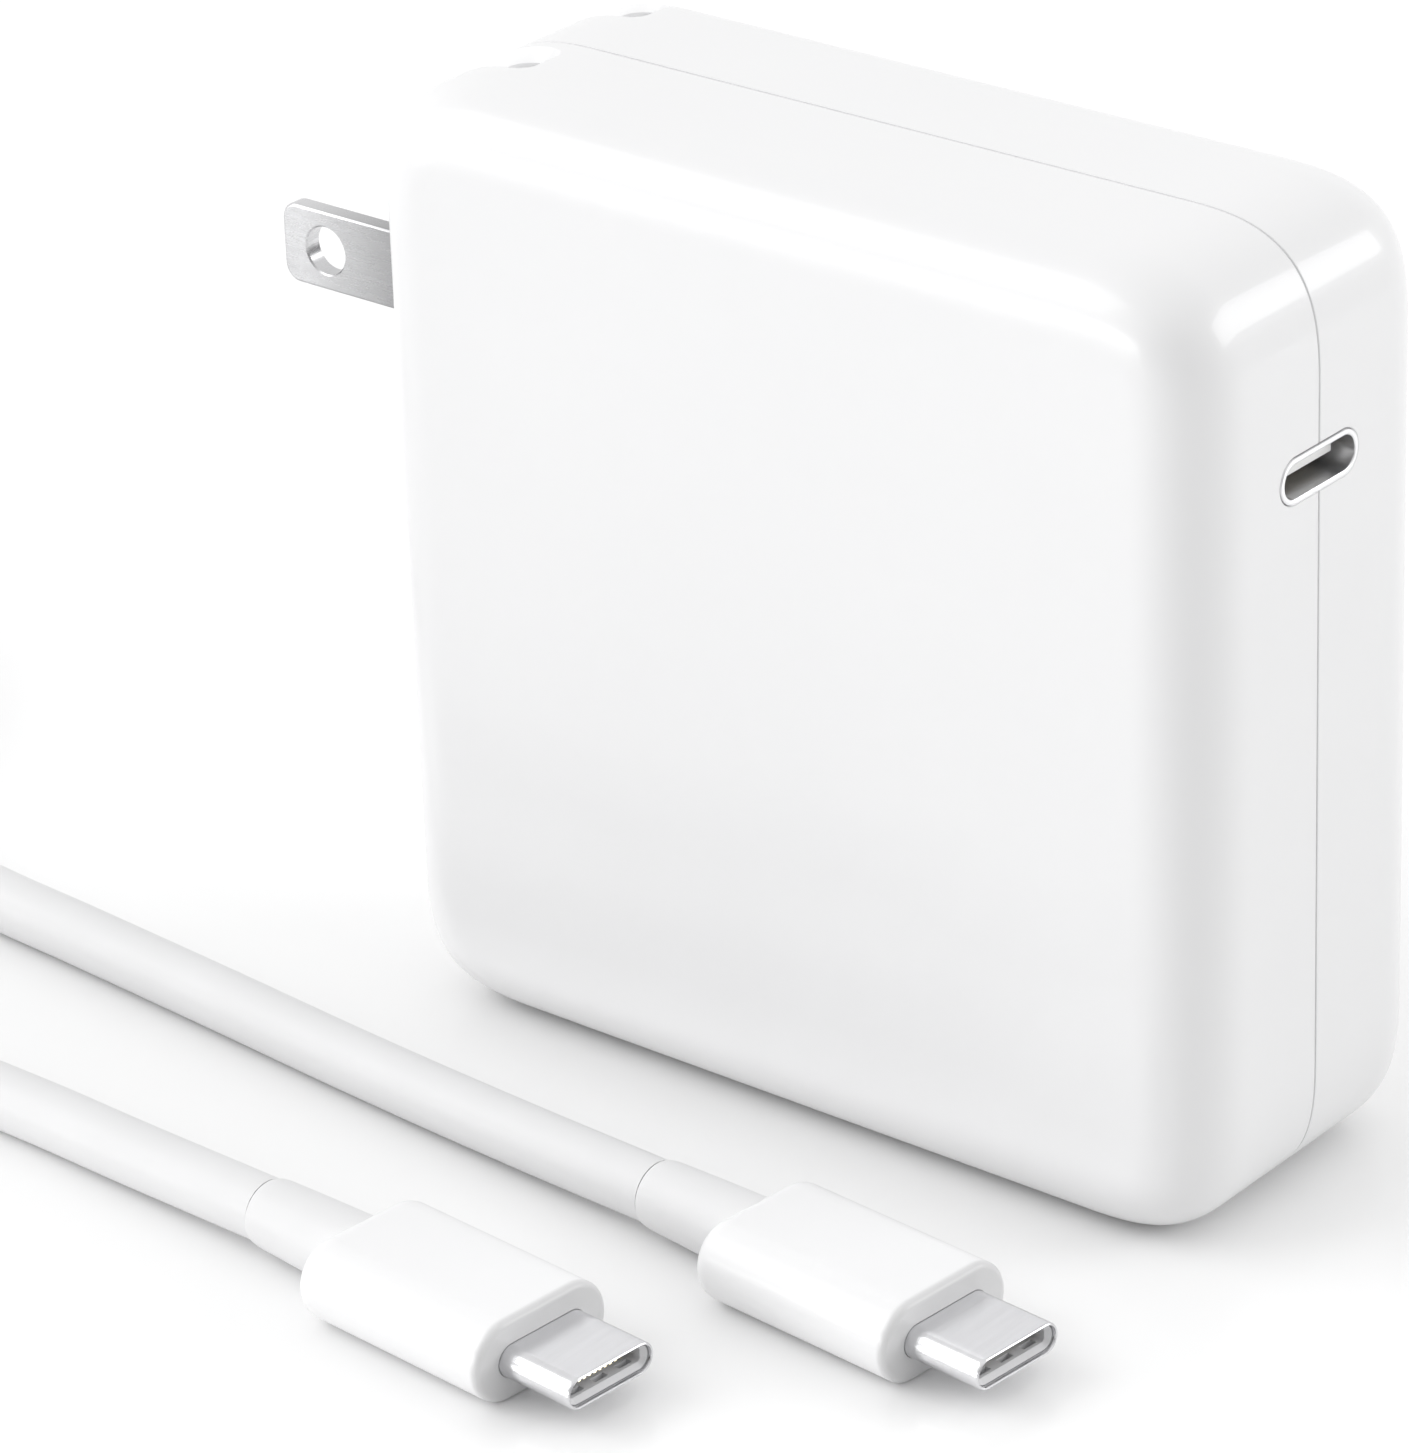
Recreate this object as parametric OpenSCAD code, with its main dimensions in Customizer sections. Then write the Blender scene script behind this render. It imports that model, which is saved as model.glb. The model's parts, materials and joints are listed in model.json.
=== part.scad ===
// Laptop power adapter with two folding mains blades and a separate charging cable.
// Frame: origin at the centre of the flat base, +X towards the charging port,
// +Y towards the back face, +Z up. Units are millimetres.

/* [Housing] */
// Width of the housing along X
body_w = 74; // [72:0.5:80]
// Height of the housing
body_h = 74; // [73:0.5:80]
// Thickness of the housing, front face to back face
body_t = 28.6; // [28.6:0.2:32]
// Radius of the four tall corners, seen from the front
corner_r = 9; // [8:0.5:10]
// Radius of the rounded rim round the front and back faces
edge_r = 5.4; // [4:0.2:5.4]
// Wall thickness of both shells
wall = 2.2; // [2:0.1:2.4]

/* [Mains blades] */
// Distance between the two blades' centre planes
blade_pitch = 12.7; // [12.7:0.1:12.8]
// Height of a blade
blade_h = 6.35; // [6.1:0.05:6.5]
// Thickness of a blade
blade_t = 1.5; // [1.4:0.05:1.6]
// Free length of a blade in front of its raised plate
blade_len = 15.9; // [15.9:0.1:16.4]
// Height of the blades' centre line above the base
blade_z = 54.4; // [54:0.2:55.2]
// Distance of the blades' middle behind the housing's mid-plane
blade_y = 2.6; // [2.4:0.1:2.6]
// Radius of the hole near a blade's tip
blade_hole_r = 1.9; // [1.6:0.05:1.95]
// How far the raised plate stands out of the side
plate_out = 1; // [0.8:0.1:1.2]

/* [Charging port] */
// Height of the port's centre above the base
port_z = 57; // [56.8:0.2:57.4]
// Width of the port's opening
port_w = 8.34; // [8.3:0.02:8.4]
// Height of the port's opening
port_h = 2.56; // [2.5:0.02:2.6]

/* [Cable] */
// Diameter of the charging cable
cable_d = 4.8; // [4.4:0.1:5]
// Width of a connector's moulded grip
grip_w = 12.6; // [11.6:0.1:13]
// Height of a connector's moulded grip
grip_h = 6.2; // [5.8:0.1:6.6]
// Length of a connector's moulded grip
grip_len = 18.5; // [17:0.5:21]

/* [Hidden] */

$fn = 48;
eps = 0.01;
white = [0.95, 0.95, 0.94];
steel = [0.75, 0.75, 0.77];
copper = [0.72, 0.42, 0.2];
green = [0.1, 0.35, 0.2];
black = [0.12, 0.12, 0.12];

// Housing
half_t = body_t / 2;
straight_x = body_w / 2 - corner_r;
straight_z = body_h / 2 - corner_r;
mid_z = body_h / 2;
in_x = body_w / 2 - wall;
in_y = half_t - wall;
lip_t = 1;
lip_h = 1;
lip_gap = 0.1;
rim_steps = 6;

// Folding blades. The carrier turns about an axis along Y through the pivot.
plate_x = -body_w / 2 - plate_out;
plate_w = 22;
plate_y = 1;
plate_h = 13;
plate_r = 3;
slot_w = 3;
pivot_x = -body_w / 2 + 2;
pivot_z = blade_z - 3.1;
slot_end_x = pivot_x + 7.6;
slot_floor_z = pivot_z - 2.9;
base_front_y = -8.9;
base_back_y = 11.2;
base_gap = 0.05;
plate_root_x = 2.4 - in_x;
base_end_x = slot_end_x + 1.9;
barrel_r = 2.2;
barrel_half = 5.3;
barrel_gap = 0.3;
trunnion_r = 1.5;
running_gap = 0.05;
arm_t = 2.4;
blade_tip_x = plate_x - blade_len;
blade_tail_x = pivot_x + 1.4;
blade_hole_x = plate_x - 11.7;
leaf_t = 0.3;
tab_x = base_end_x + 2;
lead_r = 0.8;
lead_x = base_end_x + 5.8;

// Port
port_wall = 0.33;
port_rim_w = 0.1;
port_rim_depth = 0.35;
port_rim_out = 0.1;
port_x = body_w / 2;
port_depth = 7.6;
tongue_in = 1.3;
tongue_half_w = 3.34;
tongue_half_t = 0.35;
pin_pitch = 0.5;
pin_half_w = 0.12;
pin_t = 0.05;
board_top_z = port_z - port_h / 2 - port_wall;
board_t = 1.2;

// Circuit board, parallel to the back face, parts standing towards the front
pcb_y = 8.4;
pcb_t = 1.6;
pcb_half = 33.5;
pcb_r = 6;
chip_t = 0.9;

// Connectors: tip of the metal shell on the floor, and heading in degrees
shell_w = 8.3;
shell_h = 2.5;
shell_t = 0.25;
shell_len = 6.65;
shell_in = 3;
slot_depth = 5.6;
slot_half_t = 0.55;
sleeve_len = 9;
sleeve_r1 = cable_d / 2 + 0.5;
sleeve_r2 = cable_d / 2 + 0.25;
plug_a_tip = [36, -34];
plug_b_tip = [15.2, -52.2];
plug_turn = -5;

// Cable: 1.8 m long, its middle wound in nine and a half turns, in two layers of five.
// The route of each run, from its sleeve to the coil, in floor coordinates.
lift = 0.6;
low = cable_d / 2;
layer_1 = lift + low;
layer_2 = layer_1 + cable_d;
coil_x = -133;
coil_y = -28;
coil_out = 35.6;
coil_in = coil_out - 4 * cable_d;
route_a = [[1.9, -31, 3.1], [-12, -29.8, 2.7], [-28, -28.3, 2.4], [-44, -26.8, 2.4],
    [-60, -25.4, 2.4], [-71, -24.5, 2.4], [-80, -23.1, 2.4], [-88.5, -19.2, 2.4],
    [-96, -12.6, 2.5], [-103, -5.2, 2.7], [-111.5, 1.6, 2.8], [-122, 6.2, 3], [-133, 7.6, 3]];
route_b = [[-18.9, -49.2, 3.1], [-32, -48.3, 2.7], [-46, -47.4, 2.4], [-60, -47.6, 2.4],
    [-74, -49.9, 2.4], [-88, -54.4, 2.4], [-102, -60.3, 2.4], [-114, -65.2, 2.4],
    [-124, -67.8, 2.7], [-133, -68.4, 2.9], [-145, -66, 4.6]];
run_sides = 12;
run_steps = 3;

// ---------- shared shapes ----------

// Points of an arc, from angle a0 to a1, in n steps
function arc(x, y, r, a0, a1, n) =
    [for (i = [0:n]) let (a = a0 + (a1 - a0) * i / n) [x + r * cos(a), y + r * sin(a)]];

// Half section of the housing: across from a corner's centre, and out from mid-plane.
// g is how far the outline is grown; a negative value gives the cavity.
// start is where the section begins, measured outwards from mid-plane.
function half_section(g, start) =
    concat([[0, start], [corner_r + g, start]],
        arc(corner_r - edge_r, half_t - edge_r, edge_r + g, 0, 90, rim_steps),
        [[0, half_t + g]]);

// Half of the rounded housing block, lying flat: mid-plane at z = 0
module half_block(g, start = 0) {
    translate([-straight_x, -straight_z, start])
        cube([2 * straight_x, 2 * straight_z, half_t + g - start]);
    for (k = [0:3]) {
        sx = k % 2 == 0 ? straight_x : straight_z;
        sz = k % 2 == 0 ? straight_z : straight_x;
        rotate([0, 0, 90 * k])
            translate([sx, sz, 0])
                rotate_extrude(angle = 90)
                    polygon(half_section(g, start));
        rotate([0, 0, 90 * k])
            translate([sx, sz, 0])
                rotate([90, 0, 0])
                    linear_extrude(2 * sz)
                        polygon(half_section(g, start));
    }
}

// Outline of the housing at mid-plane, grown by g
module outline(g) {
    square([2 * (straight_x + corner_r + g), 2 * straight_z], center = true);
    square([2 * straight_x, 2 * (straight_z + corner_r + g)], center = true);
    for (x = [-1, 1], y = [-1, 1])
        translate([x * straight_x, y * straight_z])
            circle(corner_r + g);
}

// Stands a flat-lying shape up: its z becomes -Y, and its centre goes to mid-height
module stand() {
    translate([0, 0, mid_z])
        rotate([90, 0, 0])
            children();
}

// Rectangle with round corners
module rounded(w, h, r) {
    square([w - 2 * r, h], center = true);
    square([w, h - 2 * r], center = true);
    for (x = [-1, 1], y = [-1, 1])
        translate([x * (w / 2 - r), y * (h / 2 - r)])
            circle(r);
}

// Racetrack: a rectangle with fully round ends
module racetrack(w, h) {
    square([w - h, h], center = true);
    for (x = [-1, 1])
        translate([x * (w - h) / 2, 0])
            circle(h / 2);
}

// Racetrack prism along X from x0 to x1, wide along Y, centred at height z
module racetrack_bar(w, h, x0, x1, z) {
    translate([x0, 0, z])
        rotate([90, 0, 90])
            linear_extrude(x1 - x0)
                racetrack(w, h);
}

// Box between two corners
module block(a, b) {
    translate(a)
        cube(b - a);
}

// Cylinder along Y
module along_y(r, x, z, y0, y1) {
    translate([x, y0, z])
        rotate([-90, 0, 0])
            cylinder(r = r, h = y1 - y0);
}

// Ring along Y
module ring_y(r_out, r_in, x, z, y0, y1) {
    difference() {
        along_y(r_out, x, z, y0, y1);
        along_y(r_in, x, z, y0 - 1, y1 + 1);
    }
}

// ---------- housing ----------

// Holes in both shells for the port, its rim, the raised plate and the blades' slots
module side_openings() {
    port_body(0.1, in_x - 1, port_x + 1);
    port_body(port_rim_w + 0.05, port_x - port_rim_depth, port_x + 1);
    plate_body(0.05);
    blade_slots();
}

// Outer shape of the port's metal shell, grown by g, from x0 to x1
module port_body(g, x0, x1) {
    racetrack_bar(port_w + 2 * (port_wall + g), port_h + 2 * (port_wall + g), x0, x1, port_z);
}

// The raised plate's prism through the side wall
module plate_body(g) {
    translate([plate_x, plate_y, blade_z])
        rotate([90, 0, 90])
            linear_extrude(plate_root_x - plate_x)
                rounded(plate_w + 2 * g, plate_h + 2 * g, plate_r + g);
}

// Middle of the front (-1) or back (1) blade along Y
function blade_mid(side) = blade_y + side * blade_pitch / 2;

// Space in which the blades turn, open over the top corner
module blade_slots() {
    for (side = [-1, 1])
        block([plate_x - 1, blade_mid(side) - slot_w / 2, slot_floor_z],
            [slot_end_x, blade_mid(side) + slot_w / 2, body_h + 1]);
}

// Front half, with a lip that locates inside the back half
module front_shell() {
    color(white)
        difference() {
            stand()
                difference() {
                    union() {
                        half_block(0);
                        translate([0, 0, -lip_h])
                            linear_extrude(lip_h)
                                outline(lip_t - wall);
                    }
                    half_block(-wall, -lip_h - 1);
                }
            side_openings();
        }
}

module back_shell() {
    color(white)
        difference() {
            mirror([0, 1, 0])
                stand()
                    difference() {
                        half_block(0);
                        half_block(-wall);
                    }
            translate([0, lip_h + lip_gap, 0])
                stand()
                    linear_extrude(lip_h + lip_gap + 1)
                        outline(lip_t - wall + lip_gap);
            side_openings();
        }
}

// ---------- folding blades ----------

// The space inside the shells, less a small gap all round
module cavity() {
    stand()
        half_block(-wall - base_gap, -1);
    mirror([0, 1, 0])
        stand()
            half_block(-wall - base_gap, -1);
}

// Fixed block behind the side wall: raised plate, slot walls and bearings
module plug_base() {
    color(white)
        difference() {
            union() {
                plate_body(0);
                intersection() {
                    block([-body_w / 2, base_front_y, slot_floor_z - 2.7],
                        [base_end_x, base_back_y, body_h]);
                    cavity();
                }
            }
            blade_slots();
            along_y(trunnion_r + running_gap, pivot_x, pivot_z, base_front_y - 1, base_back_y + 1);
            along_y(barrel_r + barrel_gap, pivot_x, pivot_z,
                blade_y - barrel_half - barrel_gap, blade_y + barrel_half + barrel_gap);
            block([pivot_x, blade_y - 4.9, pivot_z - barrel_r - barrel_gap],
                [base_end_x + 1, blade_y + 4.9, pivot_z + barrel_r + barrel_gap]);
            for (side = [-1, 1])
                block([slot_end_x - 1, blade_mid(side) - 1, slot_floor_z],
                    [base_end_x + 1, blade_mid(side) + 1, slot_floor_z + leaf_t + 0.1]);
        }
}

// One blade's outline from the side, in X and Z
module blade_outline() {
    tip_r = 1.4;
    x0 = blade_tip_x;
    z0 = blade_z - blade_h / 2;
    translate([x0 + tip_r, z0])
        square([blade_tail_x - x0 - tip_r, blade_h]);
    translate([x0, z0 + tip_r])
        square([tip_r + eps, blade_h - 2 * tip_r]);
    for (z = [z0 + tip_r, z0 + blade_h - tip_r])
        translate([x0 + tip_r, z])
            circle(tip_r);
    translate([pivot_x - 0.6, pivot_z - 1.5])
        square([2, 2]);
}

module blade(side) {
    color(steel)
        translate([0, blade_mid(side) + blade_t / 2, 0])
            rotate([90, 0, 0])
                linear_extrude(blade_t)
                    difference() {
                        blade_outline();
                        translate([blade_hole_x, blade_z])
                            circle(blade_hole_r);
                    }
}

// Moulded carrier: a barrel with two arms that grip the blades, and two trunnions
module blade_carrier() {
    color(white)
        difference() {
            union() {
                along_y(barrel_r, pivot_x, pivot_z, blade_y - barrel_half, blade_y + barrel_half);
                along_y(trunnion_r, pivot_x, pivot_z, base_front_y, blade_mid(-1));
                along_y(trunnion_r, pivot_x, pivot_z, blade_mid(1), base_back_y);
                for (side = [-1, 1])
                    block([pivot_x - 2.6, blade_mid(side) - arm_t / 2, pivot_z - 0.8],
                        [pivot_x + 0.6, blade_mid(side) + arm_t / 2, pivot_z + 7]);
            }
            for (side = [-1, 1])
                translate([0, blade_mid(side) + blade_t / 2, 0])
                    rotate([90, 0, 0])
                        linear_extrude(blade_t)
                            blade_outline();
        }
}

// Leaf spring that presses on the barrel and holds it at either end of its travel
module detent_spring() {
    x = pivot_x + barrel_r + 0.3;
    color(steel) {
        block([x, blade_y - 4.6, pivot_z - 2.2], [x + 0.4, blade_y + 4.6, pivot_z + 2.2]);
        block([x + 0.4, blade_y - 1.5, pivot_z - 2.2], [base_end_x, blade_y + 1.5, pivot_z - 1.8]);
    }
}

// Leaf under a blade's heel, with a tab for its lead
module line_contact(side) {
    color(copper) {
        block([pivot_x - 1.5, blade_mid(side) - 0.9, slot_floor_z],
            [tab_x, blade_mid(side) + 0.9, slot_floor_z + leaf_t]);
        block([tab_x, blade_mid(side) - 0.9, slot_floor_z - 4],
            [tab_x + leaf_t, blade_mid(side) + 0.9, slot_floor_z + leaf_t]);
    }
}

// Insulated wire from a contact's tab to the circuit board
module lead(side) {
    y = min(blade_mid(side), pcb_y - lead_r);
    z = slot_floor_z - (side > 0 ? 1.2 : 3.2);
    color(side > 0 ? "royalblue" : "saddlebrown") {
        translate([tab_x + leaf_t, y, z])
            rotate([0, 90, 0])
                cylinder(r = lead_r, h = lead_x - tab_x - leaf_t);
        translate([lead_x, y, z])
            sphere(lead_r);
        along_y(lead_r, lead_x, z, y, pcb_y);
    }
}

// ---------- charging port ----------

// Drawn metal shell, closed at the back, with a thin rim at the mouth
module receptacle_shell() {
    color(steel)
        difference() {
            union() {
                port_body(0, port_x - port_depth, port_x - port_rim_depth + eps);
                port_body(port_rim_w, port_x - port_rim_depth, port_x + port_rim_out);
            }
            racetrack_bar(port_w, port_h, port_x - port_depth + 1, port_x + 1, port_z);
        }
}

module receptacle_tongue() {
    color([0.9, 0.9, 0.88])
        block([port_x - port_depth + 1, -tongue_half_w, port_z - tongue_half_t],
            [port_x - tongue_in, tongue_half_w, port_z + tongue_half_t]);
}

// Twelve contacts on each side of the tongue
module receptacle_contacts() {
    color([0.85, 0.7, 0.35])
        for (i = [0:11], s = [-1, 1])
            block([port_x - port_depth + 1, (i - 5.5) * pin_pitch - pin_half_w,
                    port_z + (s > 0 ? tongue_half_t : -tongue_half_t - pin_t)],
                [port_x - tongue_in - 0.6, (i - 5.5) * pin_pitch + pin_half_w,
                    port_z + (s > 0 ? tongue_half_t + pin_t : -tongue_half_t)]);
}

// ---------- circuit boards and parts ----------

module main_pcb() {
    color(green)
        difference() {
            translate([0, pcb_y + pcb_t, 0])
                stand()
                    linear_extrude(pcb_t)
                        rounded(2 * pcb_half, 2 * pcb_half, pcb_r);
            block([-body_w, 0, slot_floor_z - 5], [base_end_x + 4.4, half_t, body_h]);
        }
}

module port_pcb() {
    color(green)
        block([port_x - 18, -7, board_top_z - board_t], [in_x - 0.5, pcb_y, board_top_z]);
}

module fuse() {
    color([0.45, 0.3, 0.2])
        along_y(3.4, -20.3, 66.4, 0.4, pcb_y);
}

// Disc part standing on two wires; its faces look along X
module disc_part(r, t, x, z) {
    translate([x - t / 2, pcb_y - r - 1, z])
        rotate([0, 90, 0])
            cylinder(r = r, h = t);
    for (s = [-1, 1])
        along_y(0.35, x, z + s * r * 0.6, pcb_y - r - 1, pcb_y);
}

module varistor() {
    color("royalblue")
        disc_part(4, 4, -13, 66.6);
}

module thermistor() {
    color(black)
        disc_part(4, 4, -7, 66.6);
}

module x_capacitor() {
    color([0.85, 0.7, 0.2])
        block([-3, -5.6, 51], [8, pcb_y, 69]);
}

module choke_core() {
    color([0.2, 0.2, 0.22])
        ring_y(7.4, 4.2, -13.2, 53.9, 0.6, pcb_y - 1);
}

// Two opposite windings wrapped round the choke's core
module choke_windings() {
    color(copper)
        difference() {
            ring_y(8.2, 3.4, -13.2, 53.9, -0.2, pcb_y);
            ring_y(7.4, 4.2, -13.2, 53.9, 0.6, pcb_y - 1);
            block([-14.7, -2, 44], [-11.7, pcb_y + 1, 64]);
        }
}

module bridge_rectifier() {
    color(black) {
        block([-32, -5, 37.2], [-18, 6, 40.6]);
        for (i = [0:3])
            block([-30.5 + 3.5 * i, 6, 38.6], [-29.7 + 3.5 * i, pcb_y, 39.2]);
    }
}

// Electrolytic capacitor lying along Z
module bulk_capacitor(x) {
    color([0.15, 0.2, 0.35])
        difference() {
            translate([x, -0.6, 5])
                cylinder(r = 8.8, h = 31);
            translate([x, -0.6, 7.2])
                rotate_extrude()
                    translate([8.8, 0])
                        circle(0.5);
        }
}

module primary_heatsink() {
    color([0.7, 0.7, 0.72]) {
        block([-33, -9, 41], [1.5, pcb_y, 42.4]);
        block([-33, -10.4, 41], [1.5, -9, 44]);
    }
}

module primary_transistor() {
    color(black) {
        block([-4, -7.5, 42.4], [1.4, 2.5, 46.9]);
        for (i = [-1:1])
            block([-1.7 + 2 * i, 2.5, 44], [-0.9 + 2 * i, pcb_y, 44.5]);
    }
}

// Ferrite core: a closed frame round the bobbin
module transformer_core() {
    color([0.2, 0.2, 0.22])
        difference() {
            block([5.4, -10.6, 24.5], [31, 7.4, 48.3]);
            block([9.4, -7.4, 20], [27, 4.2, 52]);
        }
}

// Hollow former with an end flange on each side of the core, and its pins
module transformer_bobbin() {
    color([0.85, 0.82, 0.7]) {
        for (z = [22.6, 47.6])
            block([9.6, -7.2, z], [26.8, 4, z + 2.6]);
        block([14.5, -4.4, 25.2], [21.9, 1.2, 47.6]);
        for (x = [11, 25.4], z = [23.4, 49.4])
            along_y(0.4, x, z, 3, pcb_y);
    }
}

module transformer_winding() {
    color([0.9, 0.75, 0.2])
        difference() {
            block([10.2, -6.9, 25.3], [26.2, 3.7, 47.5]);
            block([14.4, -4.5, 25], [22, 1.3, 48]);
        }
}

module y_capacitor() {
    color("royalblue")
        disc_part(3.4, 3, 11.5, 56);
}

module optocoupler() {
    color("whitesmoke")
        block([11, 5, 63], [15.6, pcb_y, 69.5]);
}

module secondary_heatsink() {
    color([0.7, 0.7, 0.72])
        block([5, -9, 20.4], [31.5, pcb_y, 21.8]);
}

module rectifier_transistor() {
    color(black)
        block([12, -7, 15.9], [22, 2.5, 20.4]);
}

// Two polymer capacitors by the port and two by the base: x, z, radius and free end
module output_capacitors() {
    cans = [[20, 66.3, 4.2, -1.6], [29, 66.3, 4.2, -1.6], [28.6, 9.6, 2.8, -3.6],
        [28.6, 15.5, 2.8, -3.6]];
    color([0.75, 0.75, 0.8])
        for (c = cans)
            along_y(c[2], c[0], c[1], c[3], pcb_y);
}

module output_inductor() {
    color(copper)
        ring_y(5.6, 2.2, 12, 9.6, 1.6, pcb_y);
}

// Flat chips on the solder side of the board: x, z, width and height
module control_chips() {
    chips = [[-13, 26, 7.5, 4], [8, 33, 9, 5], [-2, 48, 6, 4], [13, 9, 7.5, 5],
        [-26, 17.6, 9, 2.4]];
    y = pcb_y + pcb_t;
    color(black)
        for (c = chips)
            block([c[0], y, c[1]], [c[0] + c[2], y + chip_t, c[1] + c[3]]);
}

module charge_controller() {
    color(black)
        block([20.4, -2.5, board_top_z], [25.4, 2.5, board_top_z + chip_t]);
}

module insulating_sheet() {
    color([0.9, 0.88, 0.8])
        translate([0, in_y - 0.5, 0])
            stand()
                linear_extrude(0.25)
                    rounded(62, 62, 4);
}

module back_heat_spreader() {
    color([0.72, 0.72, 0.74])
        translate([0, in_y - 0.05, 0])
            stand()
                linear_extrude(0.4)
                    rounded(58, 58, 4);
}

module front_heat_spreader() {
    color([0.72, 0.72, 0.74])
        translate([0, 0.5 - in_y + 0.05, 0])
            stand()
                linear_extrude(0.5)
                    rounded(58, 58, 4);
}

// Soft pad between the transformer and the front spreader
module thermal_pad() {
    color([0.6, 0.7, 0.8])
        block([8, 0.55 - in_y, 27], [28, -10.6, 46]);
}

// ---------- charging cable ----------

// Puts a connector, drawn with its tip at the origin and heading along +X, in its place
module at_plug(tip) {
    translate([tip[0], tip[1], grip_h / 2])
        rotate([0, 0, plug_turn])
            children();
}

module plug_grip(tip) {
    color(white)
        at_plug(tip)
            difference() {
                racetrack_bar(grip_w, grip_h, -shell_len - grip_len, -shell_len, 0);
                racetrack_bar(shell_w, shell_h, -shell_len - shell_in, -shell_len + 1, 0);
            }
}

module plug_shell(tip) {
    color(steel)
        at_plug(tip)
            difference() {
                racetrack_bar(shell_w, shell_h, -shell_len - shell_in, 0, 0);
                racetrack_bar(shell_w - 2 * shell_t, shell_h - 2 * shell_t,
                    -shell_len - shell_in - 1, 1, 0);
            }
}

// Liner of a connector, with the slot for a port's tongue and windows for its latches
module plug_insulator(tip) {
    color([0.3, 0.3, 0.32])
        at_plug(tip)
            difference() {
                racetrack_bar(shell_w - 2 * shell_t, shell_h - 2 * shell_t,
                    -shell_len - shell_in, -0.3, 0);
                block([-slot_depth, -3.4, -slot_half_t], [1, 3.4, slot_half_t]);
                for (y = [-2.3, 0, 2.3])
                    block([-1.7, y - 0.65, -2], [-0.9, y + 0.65, 0]);
            }
}

// Twelve contacts above and below a connector's slot
module plug_contacts(tip) {
    color([0.85, 0.7, 0.35])
        at_plug(tip)
            for (i = [0:11], s = [-1, 1])
                block([-slot_depth, (i - 5.5) * pin_pitch - pin_half_w,
                        s > 0 ? slot_half_t - 0.13 : -slot_half_t],
                    [-1.9, (i - 5.5) * pin_pitch + pin_half_w,
                        s > 0 ? slot_half_t : 0.13 - slot_half_t]);
}

module plug_sleeve(tip) {
    color(white)
        at_plug(tip)
            translate([-shell_len - grip_len - sleeve_len, 0, 0])
                rotate([0, 90, 0])
                    cylinder(r1 = sleeve_r2, r2 = sleeve_r1, h = sleeve_len);
}

// Point at parameter t between p[i] and p[i + 1] on a smooth curve through the points
function on_route(p, i, t) =
    let (a = p[max(i - 1, 0)], b = p[i], c = p[i + 1], d = p[min(i + 2, len(p) - 1)])
        0.5 * (2 * b + (c - a) * t + (2 * a - 5 * b + 4 * c - d) * t * t
            + (3 * b - a - 3 * c + d) * t * t * t);

function smooth_route(p) =
    concat([for (i = [0:len(p) - 2], k = [0:run_steps - 1]) on_route(p, i, k / run_steps)],
        [p[len(p) - 1]]);

function unit(v) = v / norm(v);

// Tube along a route: one ring of points at each route point, closed at both ends
module tube(route, r) {
    p = smooth_route(route);
    n = len(p);
    points = [for (i = [0:n - 1])
        let (d = unit(p[min(i + 1, n - 1)] - p[max(i - 1, 0)]),
            side = unit(cross([0, 0, 1], d)),
            up = cross(d, side))
            for (k = [0:run_sides - 1])
                let (a = 360 * k / run_sides)
                    p[i] + r * (cos(a) * side + sin(a) * up)];
    walls = [for (i = [0:n - 2], k = [0:run_sides - 1])
        let (m = (k + 1) % run_sides)
            [i * run_sides + k, (i + 1) * run_sides + k,
                (i + 1) * run_sides + m, i * run_sides + m]];
    first = [for (k = [0:run_sides - 1]) k];
    last = [for (k = [0:run_sides - 1]) n * run_sides - 1 - k];
    polyhedron(points, concat([first], walls, [last]), convexity = 10);
}

module cable_run(route) {
    color(white)
        tube(route, cable_d / 2);
}

module coil_ring() {
    translate([coil_x, coil_y, lift])
        rotate_extrude()
            translate([coil_in - low, 0])
                square([coil_out - coil_in + cable_d, 2 * cable_d]);
}

module cable_coil() {
    color(white)
        coil_ring();
}

// Strap round all the turns on the far side of the coil
module coil_tie() {
    color([0.85, 0.85, 0.85])
        difference() {
            block([coil_x - coil_out - low - lift, coil_y - 5, 0],
                [coil_x - coil_in + low + lift, coil_y + 5, 2 * cable_d + 2 * lift]);
            coil_ring();
        }
}

front_shell();
back_shell();
plug_base();
blade_carrier();
blade(-1);  // blade_front
blade(1);  // blade_back
detent_spring();
line_contact(-1);  // line_contact_front
line_contact(1);  // line_contact_back
lead(-1);  // lead_front
lead(1);  // lead_back
receptacle_shell();
receptacle_tongue();
receptacle_contacts();
main_pcb();
port_pcb();
fuse();
varistor();
thermistor();
x_capacitor();
choke_core();
choke_windings();
bridge_rectifier();
bulk_capacitor(-24.4);  // bulk_capacitor_left
bulk_capacitor(-5.8);  // bulk_capacitor_right
primary_transistor();
primary_heatsink();
transformer_core();
transformer_bobbin();
transformer_winding();
y_capacitor();
optocoupler();
rectifier_transistor();
secondary_heatsink();
output_capacitors();
output_inductor();
control_chips();
charge_controller();
insulating_sheet();
front_heat_spreader();
back_heat_spreader();
thermal_pad();
plug_grip(plug_a_tip);  // plug_a_grip
plug_shell(plug_a_tip);  // plug_a_shell
plug_insulator(plug_a_tip);  // plug_a_insulator
plug_contacts(plug_a_tip);  // plug_a_contacts
plug_sleeve(plug_a_tip);  // plug_a_sleeve
plug_grip(plug_b_tip);  // plug_b_grip
plug_shell(plug_b_tip);  // plug_b_shell
plug_insulator(plug_b_tip);  // plug_b_insulator
plug_contacts(plug_b_tip);  // plug_b_contacts
plug_sleeve(plug_b_tip);  // plug_b_sleeve
cable_run(route_a);  // cable_run_a
cable_run(route_b);  // cable_run_b
cable_coil();
coil_tie();
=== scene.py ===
"""Laptop power adapter with two folding mains blades, and its charging cable with two plugs."""

import json
import math

import bmesh
import bpy
from mathutils import Matrix, Vector


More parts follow.
